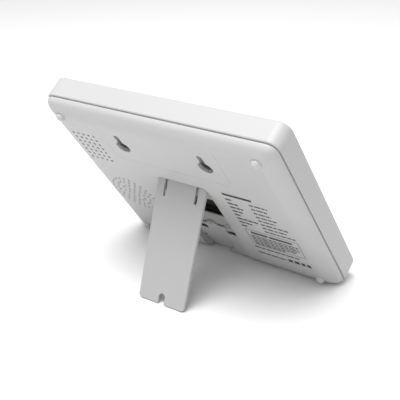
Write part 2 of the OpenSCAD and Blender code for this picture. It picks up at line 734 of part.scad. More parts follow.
module power_switch_body() color("dimgray") stand() difference() {
    span([wall_in - 5, side_y - 2.4, switch_z - 3.4],
        [wall_in - 0.5, board_y, switch_z + 3.4 + switch_travel]);
    span([wall_in - 2.4, side_y - 1.3, switch_z - 2.5],
        [wall_in + cut, side_y + 1.3, switch_z + 2.5 + switch_travel]);
}

module power_switch_knob() color("gainsboro") stand() difference() {
    union() {
        span([wall_in - 2, side_y - 1, switch_z - knob_w / 2],
            [case_w / 2 + 0.7, side_y + 1, switch_z + knob_w / 2]);
        span([wall_in - 2, side_y - 1, switch_z - 2.2], [wall_in - 1, side_y + 1, switch_z + 2.2]);
    }
    for (s = [-1, 1]) span([case_w / 2 + 0.4, side_y - 2, switch_z + s * 0.5 - 0.15],
        [case_w / 2 + 1, side_y + 2, switch_z + s * 0.5 + 0.15]);
}

// ---------- display cable ----------

module display_flex() color("peru") stand() {
    x0 = flex_x - flex_w / 2;
    x1 = flex_x + flex_w / 2;
    span([x0, glass_y + 0.2, flex_top], [x1, board_back + 1, flex_top + flex_t]);
    span([x0, board_back + 0.8, flex_z + 2], [x1, board_back + 1, flex_top + flex_t]);
    span([x0, glass_y + 0.2, flex_top - 1], [x1, glass_y + 0.35, flex_top + flex_t]);
}

module flex_connector() color("ivory") stand() difference() {
    chip(flex_x, flex_z, flex_w + 4, 4.6, 1.8);
    span([flex_x - flex_w / 2 - 0.3, board_back + 0.7, flex_z - 1],
        [flex_x + flex_w / 2 + 0.3, board_back + 1.15, flex_z + 4]);
}

// ---------- speaker ----------

module speaker_frame() color("darkgray") stand() difference() {
    union() {
        post(speaker_x, speaker_z, speaker_r, speaker_y - 0.8, speaker_y);
        post(speaker_x, speaker_z, 14.5, speaker_y - 3, speaker_y - 0.7);
    }
    post(speaker_x, speaker_z, 15.6, speaker_y - 0.4, speaker_y + cut);
    post(speaker_x, speaker_z, 13.7, speaker_y - 2.4, speaker_y + cut);
    post(speaker_x, speaker_z, 3, speaker_y - 4, speaker_y);
}

module speaker_cone() color("black") stand() translate([speaker_x, speaker_y - 0.1, speaker_z])
    rotate([90, 0, 0]) difference() {
        union() {
            cylinder(r = 15.4, h = 0.3);
            cylinder(r1 = 12, r2 = 5, h = 1.7);
        }
        translate([0, 0, -0.3]) cylinder(r1 = 11.9, r2 = 4.4, h = 1.7);
    }

module speaker_magnet() color("dimgray") stand() {
    post(speaker_x, speaker_z, 8, speaker_y - 4.8, speaker_y - 3);
}

module speaker_ring() color("gray") stand() difference() {
    post(speaker_x, speaker_z, speaker_r + 0.2, speaker_y - 2.2, speaker_y - 0.8);
    post(speaker_x, speaker_z, 15.4, speaker_y - 2.2 - cut, speaker_y);
}

module speaker_leads() color("firebrick") stand() for (i = [-1, 1])
    bent_wire([plug_x + 2.4, board_back + 2.6, plug_z + i],
        [speaker_x - 16, board_back + 2.6, plug_z + i],
        [speaker_x - 13.5, speaker_y - 3.3, plug_z + i], 0.45);

module speaker_plug() color("ivory") stand() chip(plug_x, plug_z, 4.8, 5.4, 4);

// ---------- clock battery ----------

module clock_cell_holder() color("black") stand() difference() {
    chip(26, 45.5, 16, 14.6, 3.4);
    post(26, 45.5, 6.5, board_back + 1, board_back + 5);
}

module clock_cell() color("silver") stand() post(26, 45.5, 6.3, board_back + 1, board_back + 3);

front_bezel();
back_cover();
stand_leg();
hinge_bracket();
hinge_bracket_screws();
leg_catch_plate();
catch_plate_screws();
bumper_feet();
case_screws();
screen_gasket();
lcd_metal_frame();
lcd_glass();
diffuser_sheet();
light_guide();
backlight_bar();
lcd_rear_tray();
screen_bracket_top();
screen_bracket_bottom();
screen_bracket_screws();
main_board();
board_screws();
processor_chip();
memory_chips();
capacitors();
inductors();
crystal();
card_socket();
usb_socket();
dc_jack();
dc_jack_pin();
audio_jack();
key_switches();
menu_button();
up_button();
down_button();
enter_button();
play_button();
power_switch_body();
power_switch_knob();
display_flex();
flex_connector();
speaker_frame();
speaker_cone();
speaker_magnet();
speaker_ring();
speaker_leads();
speaker_plug();
clock_cell();
clock_cell_holder();
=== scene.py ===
import json
import math

import bmesh
import bpy
from mathutils import Matrix, Vector


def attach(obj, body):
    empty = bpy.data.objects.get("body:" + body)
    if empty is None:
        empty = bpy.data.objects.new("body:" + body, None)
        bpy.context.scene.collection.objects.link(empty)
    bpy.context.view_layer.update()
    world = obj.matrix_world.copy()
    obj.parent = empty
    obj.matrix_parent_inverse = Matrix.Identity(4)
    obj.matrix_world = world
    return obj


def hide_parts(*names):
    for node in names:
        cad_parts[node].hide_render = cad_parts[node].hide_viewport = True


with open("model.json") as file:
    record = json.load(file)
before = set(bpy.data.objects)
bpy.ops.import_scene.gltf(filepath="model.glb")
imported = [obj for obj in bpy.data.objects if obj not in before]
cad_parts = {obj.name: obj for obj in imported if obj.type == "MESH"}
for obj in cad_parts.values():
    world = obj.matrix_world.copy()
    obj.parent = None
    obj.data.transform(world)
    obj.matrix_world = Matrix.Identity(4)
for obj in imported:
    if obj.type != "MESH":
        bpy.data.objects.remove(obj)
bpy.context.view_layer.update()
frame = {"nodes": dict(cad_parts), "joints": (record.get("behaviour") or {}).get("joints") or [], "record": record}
record = frame["record"]
scene = bpy.context.scene


# ---------- sizes that several pieces share, in millimetres ----------
# The case: width, height, depths of bezel and cover, walls, the cover's inset and the corners
CASE_W, CASE_H, BEZEL_D, COVER_D = 160.0, 141.0, 13.7, 7.4
TOTAL = BEZEL_D + COVER_D
WALL, INSET, CORNER = 2.0, 0.9, 7.2
MID_Z = CASE_H / 2
SIDE = CASE_W / 2
WALL_IN = SIDE - WALL
# The cover's pillow edge: a small arc at the rim runs on into a large one that ends flat
PILLOW_W, PILLOW_H, SMALL_R = 11.0, 6.8, 4.5
LARGE_R = ((PILLOW_W - SMALL_R) ** 2 + PILLOW_H**2 - SMALL_R**2) / (2 * (PILLOW_H - SMALL_R))
GROOVE_Y = TOTAL - PILLOW_H
# The keyholes: places, round part, half the slot's width and its upper end
KEYHOLE_X, KEYHOLE_Z, KEYHOLE_R, KEYHOLE_SLOT, KEYHOLE_TIP = 29.15, 113.4, 4.6, 1.7, 124.2
# The hinge: height, barrel and depth of its axis; the folded leg lies on the shelf
HINGE_Z, BARREL = 85.5, 2.0
AXIS_Y = TOTAL - BARREL - 0.2
SHELF = AXIS_Y - 0.3
# The leg: half widths at hinge and foot, its two slits and the pip that catches when it is folded
LEG_T, LEG_HALF, FOOT_HALF = 2.0, 17.6, 16.8
SLIT_X, SLIT_R, SLIT_LEN = 11.3, 0.95, 10.6
PIP_X, PIP_Z = 15.6, 18.0
# The hinge window in the recess, and the catch plate below it with two ears for its screws
WIN_X, WIN_Z0, WIN_Z1 = 16.0, 53.5, 71.7
PLATE_Z0, PLATE_T = 40.9, 0.8
EAR_X, EAR_W, EAR_Z0 = 11.4, 5.6, 34.4

# ---------- where the panel and the leg stand ----------
# The case is described in the panel's own frame: x across, y from the picture to the back, z up
# along the panel. The two keyhole mounts and the leg's joint say where that frame is.
mounts = {m["name"]: m for m in record["mounts"]}
hinge = next(j for j in frame["joints"] if j["name"] == "leg_hinge")
back = Vector(mounts["keyhole_left"]["axis"]).normalized()
across = Vector((1, 0, 0))
up = across.cross(back)
between = (Vector(mounts["keyhole_left"]["pos_m"]) + Vector(mounts["keyhole_right"]["pos_m"])) / 2
MM = 0.001
origin = between - back * (TOTAL - WALL / 2) * MM - up * KEYHOLE_Z * MM


def axes(x, y, z, place):
    """The matrix from millimetres along x, y and z at place to the frame's metres."""
    m = Matrix((x, y, z)).transposed().to_4x4()
    m.translation = place
    return m @ Matrix.Scale(MM, 4)


PANEL = axes(across, back, up, origin)
OPEN = math.radians(hinge["range_deg"][1])
LEG = PANEL @ Matrix.Translation((0, AXIS_Y, HINGE_Z)) @ Matrix.Rotation(OPEN, 4, "X")
# The leg is as long as it takes for its foot to reach the table
lean = math.atan2(-back.z, back.y)
LEG_LEN = (PANEL @ Vector((0, AXIS_Y, HINGE_Z))).z / MM / math.cos(OPEN - lean)


# ---------- mesh helpers ----------
def add(name, verts, faces, place=PANEL):
    """A new object; place turns its points into the frame's metres, or is None for later."""
    mesh = bpy.data.meshes.new(name)
    mesh.from_pydata([tuple(v) for v in verts], [], faces)
    mesh.update()
    b = bmesh.new()
    b.from_mesh(mesh)
    bmesh.ops.recalc_face_normals(b, faces=b.faces)
    b.to_mesh(mesh)
    b.free()
    o = bpy.data.objects.new(name, mesh)
    scene.collection.objects.link(o)
    if place is not None:
        mesh.transform(place)
    return o


def loft(rings, loop=False):
    """A closed skin through rings of equally many points, capped, or joined up end to end."""
    n = len(rings[0])
    verts = [p for r in rings for p in r]
    faces = []
    last = len(rings) if loop else len(rings) - 1
    for i in range(last):
        a, b = i * n, ((i + 1) % len(rings)) * n
        for k in range(n):
            j = (k + 1) % n
            faces.append((a + k, a + j, b + j, b + k))
    if not loop:
        faces.append(tuple(range(n))[::-1])
        faces.append(tuple(range((len(rings) - 1) * n, len(rings) * n)))
    return verts, faces


def shrink(outline, d):
    """The outline moved inwards by d, along the mean of its neighbours' normals."""
    n = len(outline)
    area = sum(
        outline[i][0] * outline[(i + 1) % n][1] - outline[(i + 1) % n][0] * outline[i][1]
        for i in range(n)
    )
    side = 1 if area > 0 else -1
    res = []
    for i in range(n):
        p, q, r = outline[i - 1], outline[i], outline[(i + 1) % n]
        a = Vector((q[0] - p[0], q[1] - p[1])).normalized()
        b = Vector((r[0] - q[0], r[1] - q[1])).normalized()
        na, nb = Vector((-a.y, a.x)) * side, Vector((-b.y, b.x)) * side
        m = (na + nb).normalized()
        m *= d / max(0.4, m.dot(na))
        res.append((q[0] + m.x, q[1] + m.y))
    return res


def along_y(outline, y):
    """An outline of (x, z) points as a ring at depth y."""
    return [Vector((x, y, z)) for x, z in outline]


def along_x(outline, x):
    """An outline of (y, z) points as a ring at x."""
    return [Vector((x, y, z)) for y, z in outline]


def prism(outline, y0, y1, lip=0.0, beyond=0.0, axis=along_y):
    """A straight cutter; lip widens its mouth at y1 by a small rounded chamfer."""
    rings = [axis(outline, y0)]
    if lip:
        for k in range(4):
            a = math.radians(30 * k)
            rings.append(axis(shrink(outline, -lip * (1 - math.cos(a))), y1 - lip + lip * math.sin(a)))
        if beyond:
            rings.append(axis(shrink(outline, -lip), y1 + beyond))
    else:
        rings.append(axis(outline, y1 + beyond))
    return loft(rings)


def slab(outline, y0, y1, r, steps=4, axis=along_y):
    """A flat piece with edges rounded to radius r."""
    rings = []
    for k in range(steps + 1):
        a = math.radians(90 * k / steps)
        rings.append(axis(shrink(outline, r * (1 - math.sin(a))), y0 + r * (1 - math.cos(a))))
    for k in range(steps + 1):
        a = math.radians(90 * k / steps)
        rings.append(axis(shrink(outline, r * (1 - math.cos(a))), y1 - r * (1 - math.sin(a))))
    return loft(rings)


def arc(cx, cz, r, a0, a1, n):
    """n + 1 points on an arc from a0 to a1 degrees."""
    turns = [math.radians(a0 + (a1 - a0) * k / n) for k in range(n + 1)]
    return [(cx + r * math.cos(a), cz + r * math.sin(a)) for a in turns]


def circle(cx, cz, r, n=32):
    """n points round a circle."""
    return arc(cx, cz, r, 0, 360, n)[:-1]


def rounded(x0, z0, x1, z1, r, n=8):
    """A rounded rectangle; r is one radius or four, from the lower left, counter-clockwise."""
    rs = [r] * 4 if not isinstance(r, (list, tuple)) else r
    pts = []
    for (cx, cz, sx, sz, a), q in zip(
        [(x0, z0, 1, 1, 180), (x1, z0, -1, 1, 270), (x1, z1, -1, -1, 0), (x0, z1, 1, -1, 90)], rs
    ):
        if q < 1e-6:
            pts.append((cx, cz))
        else:
            pts += arc(cx + sx * q, cz + sz * q, q, a, a + 90, n)
    return pts


def across_middle(half, z0, z1, r, n=4):
    """A rounded rectangle across the middle of the panel."""
    return rounded(-half, z0, half, z1, r, n)


def both_sides(x, half, z0, z1, r, n=4):
    """The same rounded rectangle on both sides of the middle."""
    return [rounded(s * x - half, z0, s * x + half, z1, r, n) for s in (-1, 1)]


def side_box(cy, cz, half_y, half_z, r, n=4):
    """A rounded rectangle on the side wall; its points are (y, z)."""
    return rounded(cy - half_y, cz - half_z, cy + half_y, cz + half_z, r, n)


def merge(parts):
    """Several closed shapes as one list of points and one of faces."""
    verts, faces = [], []
    for v, f in parts:
        base = len(verts)
        verts += v
        faces += [tuple(i + base for i in g) for g in f]
    return verts, faces


def cut(obj, parts, place=PANEL, how="DIFFERENCE"):
    """Takes away or adds the given closed shapes, all at once."""
    tool = add("cutter", *merge(parts), place=place)
    m = obj.modifiers.new("cut", "BOOLEAN")
    m.operation = how
    m.solver = "EXACT"
    m.object = tool
    apply_modifiers(obj)
    bpy.data.objects.remove(tool)


def apply_modifiers(obj):
    """Leaves the modifiers' result as the object's mesh."""
    deps = bpy.context.evaluated_depsgraph_get()
    fresh = bpy.data.meshes.new_from_object(obj.evaluated_get(deps))
    old = obj.data
    obj.modifiers.clear()
    obj.data = fresh
    bpy.data.meshes.remove(old)


def soft_shade(obj, degrees=32):
    """Smooth faces, hard edges where the surface turns sharply, flat areas kept flat."""
    b = bmesh.new()
    b.from_mesh(obj.data)
    bmesh.ops.remove_doubles(b, verts=b.verts, dist=2e-7)
    bmesh.ops.dissolve_degenerate(b, edges=b.edges, dist=1e-7)
    limit = math.radians(degrees)
    for f in b.faces:
        f.smooth = True
    for e in b.edges:
        e.smooth = len(e.link_faces) == 2 and e.calc_face_angle(0) < limit
    b.to_mesh(obj.data)
    b.free()
    m = obj.modifiers.new("normals", "WEIGHTED_NORMAL")
    m.keep_sharp = True
    m.weight = 80


# ---------- materials ----------
CLOUD_SCALE = 45.0  # of the slow change of tone, in patches per metre
GRAIN_DEPTH = 0.0002  # of the finest grain, in metres


def moulded(name, colour, rough=0.42, grain=0.05, scale=1500.0, mottle=0.02, ior=1.47,
            metallic=0.0, streak=None, coat=0.0):
    """Moulded plastic and its kin: fine grain in the surface, faint changes of tone and gloss.

    grain is the bump's strength and scale its fineness, mottle is how far the tone wanders either
    way, and streak scales both along x, y and z.
    """
    m = bpy.data.materials.new(name)
    m.use_nodes = True
    t = m.node_tree
    t.nodes.clear()
    out = t.nodes.new("ShaderNodeOutputMaterial")
    bsdf = t.nodes.new("ShaderNodeBsdfPrincipled")
    t.links.new(bsdf.outputs[0], out.inputs[0])
    place = t.nodes.new("ShaderNodeTexCoord")
    source = place.outputs["Object"]
    if streak:
        mapping = t.nodes.new("ShaderNodeMapping")
        mapping.inputs["Scale"].default_value = streak
        t.links.new(source, mapping.inputs[0])
        source = mapping.outputs[0]
    cloud = t.nodes.new("ShaderNodeTexNoise")
    cloud.inputs["Scale"].default_value = CLOUD_SCALE
    cloud.inputs["Detail"].default_value = 4.0
    t.links.new(source, cloud.inputs["Vector"])
    fine = t.nodes.new("ShaderNodeTexNoise")
    fine.inputs["Scale"].default_value = scale
    fine.inputs["Detail"].default_value = 3.0
    fine.inputs["Roughness"].default_value = 0.6
    t.links.new(source, fine.inputs["Vector"])
    tone = t.nodes.new("ShaderNodeMixRGB")
    tone.blend_type = "MIX"
    tone.inputs[1].default_value = tuple(c * (1 - mottle) for c in colour) + (1,)
    tone.inputs[2].default_value = tuple(min(1, c * (1 + mottle)) for c in colour) + (1,)
    t.links.new(cloud.outputs["Fac"], tone.inputs[0])
    t.links.new(tone.outputs[0], bsdf.inputs["Base Color"])
    gloss = t.nodes.new("ShaderNodeMapRange")
    gloss.inputs["From Min"].default_value = 0.3
    gloss.inputs["From Max"].default_value = 0.7
    gloss.inputs["To Min"].default_value = max(0.02, rough - 0.04)
    gloss.inputs["To Max"].default_value = min(1, rough + 0.05)
    t.links.new(fine.outputs["Fac"], gloss.inputs["Value"])
    t.links.new(gloss.outputs[0], bsdf.inputs["Roughness"])
    bump = t.nodes.new("ShaderNodeBump")
    bump.inputs["Strength"].default_value = grain
    bump.inputs["Distance"].default_value = GRAIN_DEPTH
    t.links.new(fine.outputs["Fac"], bump.inputs["Height"])
    t.links.new(bump.outputs[0], bsdf.inputs["Normal"])
    bsdf.inputs["IOR"].default_value = ior
    bsdf.inputs["Metallic"].default_value = metallic
    bsdf.inputs["Coat Weight"].default_value = coat
    return m


WHITE = moulded("white_case", (0.44, 0.44, 0.44), rough=0.44, grain=0.10, scale=1400, mottle=0.012)
# The leg is moulded of the case's plastic; its darker white is painted shade that offsets the extra light falling
# on its upward face
LEG_SHADED_WHITE = moulded("white_leg_painted_shade", (0.39, 0.39, 0.39), rough=0.40, grain=0.08, scale=1700, mottle=0.012)
# The catch plate's white is darker still: painted shade for the recess it lies in
PLATE_SHADED_WHITE = moulded("white_plate_painted_shade", (0.35, 0.35, 0.34), rough=0.30, grain=0.04, scale=1700, mottle=0.01)
FOOT = moulded("white_rubber", (0.47, 0.47, 0.47), rough=0.38, grain=0.12, scale=2200, mottle=0.02)
BLACK = moulded("black_plastic", (0.040, 0.037, 0.032), rough=0.5, grain=0.2, mottle=0.1)
GREY = moulded("grey_plastic", (0.09, 0.09, 0.095), rough=0.5, grain=0.2, mottle=0.05)
KEY = moulded("key_grey", (0.52, 0.52, 0.53), rough=0.32, grain=0.05, mottle=0.015)
IVORY = moulded("ivory_plastic", (0.62, 0.57, 0.42), rough=0.45, grain=0.15, mottle=0.03)
STEEL = moulded("rolled_steel", (0.56, 0.57, 0.58), rough=0.3, grain=0.25, scale=500, mottle=0.05,
                metallic=1.0, streak=(1, 1, 14))
ZINC = moulded("zinc_screw", (0.66, 0.66, 0.68), rough=0.25, grain=0.1, mottle=0.06, metallic=1.0)
TIN = moulded("drawn_can", (0.74, 0.74, 0.75), rough=0.22, grain=0.08, mottle=0.04, metallic=1.0)
GOLD = moulded("plated_pin", (0.83, 0.62, 0.25), rough=0.2, grain=0.05, mottle=0.05, metallic=1.0)
SCREEN = moulded("screen_glass", (0.006, 0.006, 0.008), rough=0.08, grain=0.0, mottle=0.2,
                 ior=1.52, coat=0.6)
CLEAR = moulded("light_guide", (0.8, 0.84, 0.86), rough=0.15, grain=0.05, mottle=0.01)
FROST = moulded("diffuser", (0.83, 0.83, 0.82), rough=0.7, grain=0.1, mottle=0.01)
PHOSPHOR = moulded("led_bar", (0.8, 0.7, 0.25), rough=0.4, grain=0.1, mottle=0.1)
FOAM = moulded("foam", (0.02, 0.02, 0.02), rough=0.9, grain=0.6, scale=2500, mottle=0.3)
BOARD = moulded("solder_mask", (0.01, 0.09, 0.03), rough=0.3, grain=0.2, scale=300, mottle=0.25)
EPOXY = moulded("chip_epoxy", (0.015, 0.015, 0.016), rough=0.6, grain=0.3, scale=2500, mottle=0.1)
FERRITE = moulded("ferrite", (0.035, 0.035, 0.037), rough=0.65, grain=0.5, scale=1800, mottle=0.2)
AMBER = moulded("flex_film", (0.55, 0.22, 0.03), rough=0.2, grain=0.05, mottle=0.05, streak=(30, 1, 1))
PAPER = moulded("cone_paper", (0.02, 0.02, 0.02), rough=0.85, grain=0.5, scale=900, mottle=0.3)
WIRE = moulded("wire_pvc", (0.45, 0.02, 0.02), rough=0.35, grain=0.05, mottle=0.05)
INK = moulded("print_ink", (0.022, 0.022, 0.024), rough=0.5, grain=0.05, mottle=0.08)

BY_SLOT = {
    "case_white": WHITE, "leg_white": LEG_SHADED_WHITE, "plate_white": PLATE_SHADED_WHITE, "key_grey": KEY,
    "foot_white": FOOT, "black_plastic": BLACK, "grey_plastic": GREY, "ivory_plastic": IVORY,
    "steel": STEEL, "screw_steel": ZINC, "screen_glass": SCREEN, "light_guide": CLEAR,
    "diffuser": FROST, "led_yellow": PHOSPHOR, "foam_black": FOAM, "board_green": BOARD,
    "chip_black": EPOXY, "alloy_can": TIN, "ferrite": FERRITE, "flex_amber": AMBER,
    "paper_black": PAPER, "wire_red": WIRE, "gold_pin": GOLD,
}
for part in record["subparts"]:
    node = frame["nodes"][part["node"]]
    node.data.materials.clear()
    node.data.materials.append(BY_SLOT[part["material_slot"]])


def finish_piece(obj, body, slot, material, *nodes, degrees=32):
    """Material, shading and body of a new piece, and the CAD nodes that it stands for; slot is not used."""
    obj.data.materials.clear()
    obj.data.materials.append(material)
    soft_shade(obj, degrees)
    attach(obj, body)
    if nodes:
        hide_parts(*nodes)


# ---------- front bezel ----------
CORNER_STEPS = 16
FRONT_R, REAR_R, RIM_R = 1.4, 0.7, 0.3
# The window for the picture: half sizes, corner radius, and its edge's flare as (outwards, y)
VIEW_W, VIEW_H, VIEW_R = 57.0, 42.9, 0.4
VIEW_EDGE = [(0.0, WALL), (0.0, 0.5), (0.15, 0.15), (0.5, 0.0)]


def frame_ring(inset, y, r=None, hw=SIDE, hh=CASE_H / 2):
    """A rounded rectangle round the case, inset from the sides, with a fixed number of points."""
    w, h = hw - inset, hh - inset
    r = max(0.05, (CORNER - inset) if r is None else r)
    pts = []
    for sx, sz, a in [(1, 1, 0), (-1, 1, 90), (-1, -1, 180), (1, -1, 270)]:
        pts += arc(sx * (w - r), sz * (h - r), r, a, a + 90, CORNER_STEPS)
    return [Vector((x, y, MID_Z + z)) for x, z in pts]


def turn(c_inset, c_y, r, a0, a1, n):
    """Part of a fillet in the wall's section: angle 0 points out, 90 to the back."""
    return arc(c_inset, c_y, r, 180 - a0, 180 - a1, n)


section = turn(FRONT_R, FRONT_R, FRONT_R, -90, 0, 8)
section += [(0, 4.0), (0, 9.0)]
section += turn(REAR_R, BEZEL_D - REAR_R, REAR_R, 0, 90, 6)
section += turn(WALL - RIM_R, BEZEL_D - RIM_R, RIM_R, 90, 180, 3)
section += [(WALL, WALL)]
rings = [frame_ring(inset, y) for inset, y in section]
rings += [frame_ring(0, y, VIEW_R + out, VIEW_W + out, VIEW_H + out) for out, y in VIEW_EDGE]
bezel = add("front_bezel_shell", *loft(rings, loop=True))

# What the side wall holds, from the bottom up: height z, depth y and radius or half size (y, z);
# the switch's slot is longer by its travel
DC_Z, DC_Y, DC_R = 38.0, 5.6, 3.4
USB_Z, USB_Y, USB_HALF = 50.0, 6.7, (2.3, 4.3)
AUDIO_Z, AUDIO_Y, AUDIO_R = 61.5, 6.1, 3.0
SWITCH_Z, SWITCH_Y, SWITCH_TRAVEL, SWITCH_HALF = 72.0, 6.4, 2.0, (1.3, 1.6)
KEYS = ["play", "enter", "down", "up", "menu"]
KEY_Z0, KEY_Y, KEY_PITCH, KEY_R, KEY_LONG, KEY_GAP = 81.5, 6.4, 7.0, 1.7, 2.0, 0.3
CARD_Z, CARD_Y, CARD_HALF = 88.0, 11.85, (1.15, 12.3)


def stadium(cy, cz, r, straight, n=12):
    """An oval in the side wall, long in z; points are (y, z)."""
    return arc(cy, cz + straight / 2, r, 0, 180, n) + arc(cy, cz - straight / 2, r, 180, 360, n)


def switch_slot():
    """The power knob's slot, which is longer than the knob by its travel."""
    half_y, half_z = SWITCH_HALF
    middle = SWITCH_Z + SWITCH_TRAVEL / 2
    return side_box(SWITCH_Y, middle, half_y, half_z + SWITCH_TRAVEL / 2, 0.3)


side_cuts = [
    (circle(DC_Y, DC_Z, DC_R, 40), 0.3),
    (side_box(USB_Y, USB_Z, *USB_HALF, 0.5), 0.25),
    (circle(AUDIO_Y, AUDIO_Z, AUDIO_R, 40), 0.3),
    (switch_slot(), 0.2),
    (side_box(CARD_Y, CARD_Z, *CARD_HALF, 0.3), 0.2),
]
for i in range(len(KEYS)):
    side_cuts.append((stadium(KEY_Y, KEY_Z0 + i * KEY_PITCH, KEY_R + KEY_GAP, KEY_LONG), 0.15))
cut(bezel, [prism(outline, WALL_IN - 1, SIDE, lip, 1.0, along_x) for outline, lip in side_cuts])
finish_piece(bezel, "case", "case_white", WHITE, "front_bezel")


# ---------- back cover ----------
# The cover's corners are quarter superellipses of this power, which shrink to a point at the flat
POWER = 3.7
RIM_IN = 0.25  # rounding of the rim at the groove
# Insets from the case's side: the neck at the bottom of the groove, and both faces of the tongue
# that fits into the bezel, and the tongue's depth
NECK, TONGUE_OUT, TONGUE_IN, TONGUE = 1.5, 2.35, 3.55, 1.6


def pillow_ring(tau, y, t=0):
    """One ring of the pillow, thinned by t: tau is 1 at the rim and 0 where the flat starts."""
    w = PILLOW_W - t
    cx, cz = CASE_W / 2 - INSET - PILLOW_W, CASE_H / 2 - INSET - PILLOW_W
    pts = []
    for sx, sz in [(1, 1), (-1, 1), (-1, -1), (1, -1)]:
        part = []
        for k in range(CORNER_STEPS + 1):
            a = math.radians(90 * k / CORNER_STEPS)
            c, s = max(math.cos(a), 1e-9), max(math.sin(a), 1e-9)
            f = tau * w / (c**POWER + s**POWER) ** (1 / POWER)
            part.append((sx * (cx + f * c), sz * (cz + f * s)))
        pts += part if sx * sz > 0 else part[::-1]
    return [Vector((x, y, MID_Z + z)) for x, z in pts]



def pillow_height(u, t):
    """Height of the back's section above the groove, u in from the rim, thinned by t."""
    turn_u = SMALL_R - (SMALL_R - t) * (PILLOW_W - SMALL_R) / (LARGE_R - SMALL_R)
    if u < turn_u:
        return math.sqrt(max(0, (SMALL_R - t) ** 2 - (SMALL_R - u) ** 2))
    return PILLOW_H - LARGE_R + math.sqrt(max(0, (LARGE_R - t) ** 2 - (PILLOW_W - u) ** 2))


def pillow_rings(t, steps):
    """Rings from the flat to the rim, evenly spread along the section's curve."""
    w = PILLOW_W - t
    fine = [(w * (1 - math.cos(math.radians(90 * k / 400)))) for k in range(401)]
    pts = [(t + u, pillow_height(t + u, t)) for u in fine]
    length = [0]
    for p, q in zip(pts, pts[1:]):
        length.append(length[-1] + math.dist(p, q))
    res, j = [], 0
    for k in range(steps + 1):
        goal = length[-1] * k / steps
        while j < len(length) - 2 and length[j + 1] < goal:
            j += 1
        f = (goal - length[j]) / max(1e-9, length[j + 1] - length[j])
        u = pts[j][0] + (pts[j + 1][0] - pts[j][0]) * f
        res.append((u, pillow_height(u, t)))
    return [pillow_ring((PILLOW_W - u) / w, TOTAL - PILLOW_H + v, t) for u, v in reversed(res)]


shell = pillow_rings(0, 26)[:-1] + [
    pillow_ring(1.0, GROOVE_Y + RIM_IN),
    pillow_ring(1.0 - 0.07 / PILLOW_W, GROOVE_Y + 0.07),
    pillow_ring(1.0 - RIM_IN / PILLOW_W, GROOVE_Y),
    frame_ring(NECK, GROOVE_Y), frame_ring(NECK, BEZEL_D + 0.02),
    frame_ring(TONGUE_OUT, BEZEL_D + 0.02), frame_ring(TONGUE_OUT, BEZEL_D - TONGUE),
    frame_ring(TONGUE_IN, BEZEL_D - TONGUE), frame_ring(TONGUE_IN, GROOVE_Y - 0.05),
] + pillow_rings(WALL, 14)[::-1]
cover = add("back_cover_shell", *loft(shell), place=None)


def split_flats(obj, xs, zs):
    """Divides the flat faces into cells, so that every small hole is cut from a small face."""
    b = bmesh.new()
    b.from_mesh(obj.data)
    for way, values in (((1, 0, 0), xs), ((0, 0, 1), zs)):
        for v in values:
            b.normal_update()
            flats = [f for f in b.faces if abs(f.normal.y) > 0.9999]
            edges = {e for f in flats for e in f.edges}
            corners = {w for f in flats for w in f.verts}
            geom = list(edges | corners) + flats
            bmesh.ops.bisect_plane(b, geom=geom, dist=1e-5, plane_co=Vector(way) * v, plane_no=way)
    b.to_mesh(obj.data)
    b.free()


def carve(parts, how="DIFFERENCE"):
    """Shapes the cover in the panel's own frame, where its flats are exactly flat."""
    cut(cover, parts, place=None, how=how)


# The vents in rows, and the speaker's grille in rings
VENT_X, VENT_Z, VENT_PITCH, VENT_R, VENT_COLUMNS, VENT_ROWS = 50.5, 92.4, 4.05, 0.9, 5, 7
GRILLE_X, GRILLE_Z, GRILLE_PITCH, GRILLE_R, GRILLE_RINGS = 53.5, 56.0, 3.95, 0.8, 5
# Cells of the vents' pitch whose edges run between the vents, over the whole field and the grille
split_flats(
    cover,
    [VENT_X + VENT_PITCH * (i - 3.5) for i in range(10)],
    [VENT_Z + VENT_PITCH * (k - 14.5) for k in range(22)],
)

# The leg's recess: its half width and top, and the plastic behind its floor and its hinge
RECESS, RECESS_R = 17.9, 3.0
RECESS_TOP = HINGE_Z + BARREL + 0.9
BLOCK_X, BLOCK_TOP = 21.1, RECESS_TOP + 2.2
BLOCK_IN = SHELF - 2.8
HINGE_IN = TOTAL - 7.7
# The hollow in the recess's floor: it slopes to the bottom edge, inside a large arc
RAMP_TOP, RAMP_LOW, RAMP_SIDE, RAMP_SLOPE, RAMP_EDGE = 26.0, -3.0, 17.3, 6.5, 0.9
RAMP_X, RAMP_R = 24.6, 31.8
# Each block is off its neighbours by a nudge or more, so that no two faces lie in one plane
NUDGE = 0.05
for outline, y0, y1 in [
    (across_middle(BLOCK_X, 5.0, BLOCK_TOP, 0.5, 2), BLOCK_IN, TOTAL - 1.7),
    (across_middle(BLOCK_X - NUDGE, 2.6, 6.0, 0.3, 2), BLOCK_IN + NUDGE, SHELF - 1.3),
    (across_middle(BLOCK_X + NUDGE, WIN_Z1, BLOCK_TOP + NUDGE, 0.4, 2), HINGE_IN, TOTAL - 1.75),
    (across_middle(BLOCK_X - 2 * NUDGE, 2.4, RAMP_TOP + 2.0, 0.3, 2), BLOCK_IN - 1.2, SHELF - 1.25),
]:
    carve([prism(outline, y0, y1)], how="UNION")

# Blind pockets behind the keyholes: half width and top of the hollow, and their side wall
POCKET, POCKET_TOP, POCKET_WALL = 6.0, 125.6, 1.2
pocket_out = both_sides(
    KEYHOLE_X, POCKET + POCKET_WALL, KEYHOLE_Z - POCKET - POCKET_WALL, POCKET_TOP + 1.4, 0.6, 3)
pocket_in = both_sides(KEYHOLE_X, POCKET, KEYHOLE_Z - POCKET, POCKET_TOP, 0.6, 3)
carve([prism(o, TOTAL - 6.8, TOTAL - 1.8) for o in pocket_out], how="UNION")
carve([prism(o, TOTAL - 5.6, TOTAL - WALL) for o in pocket_in])


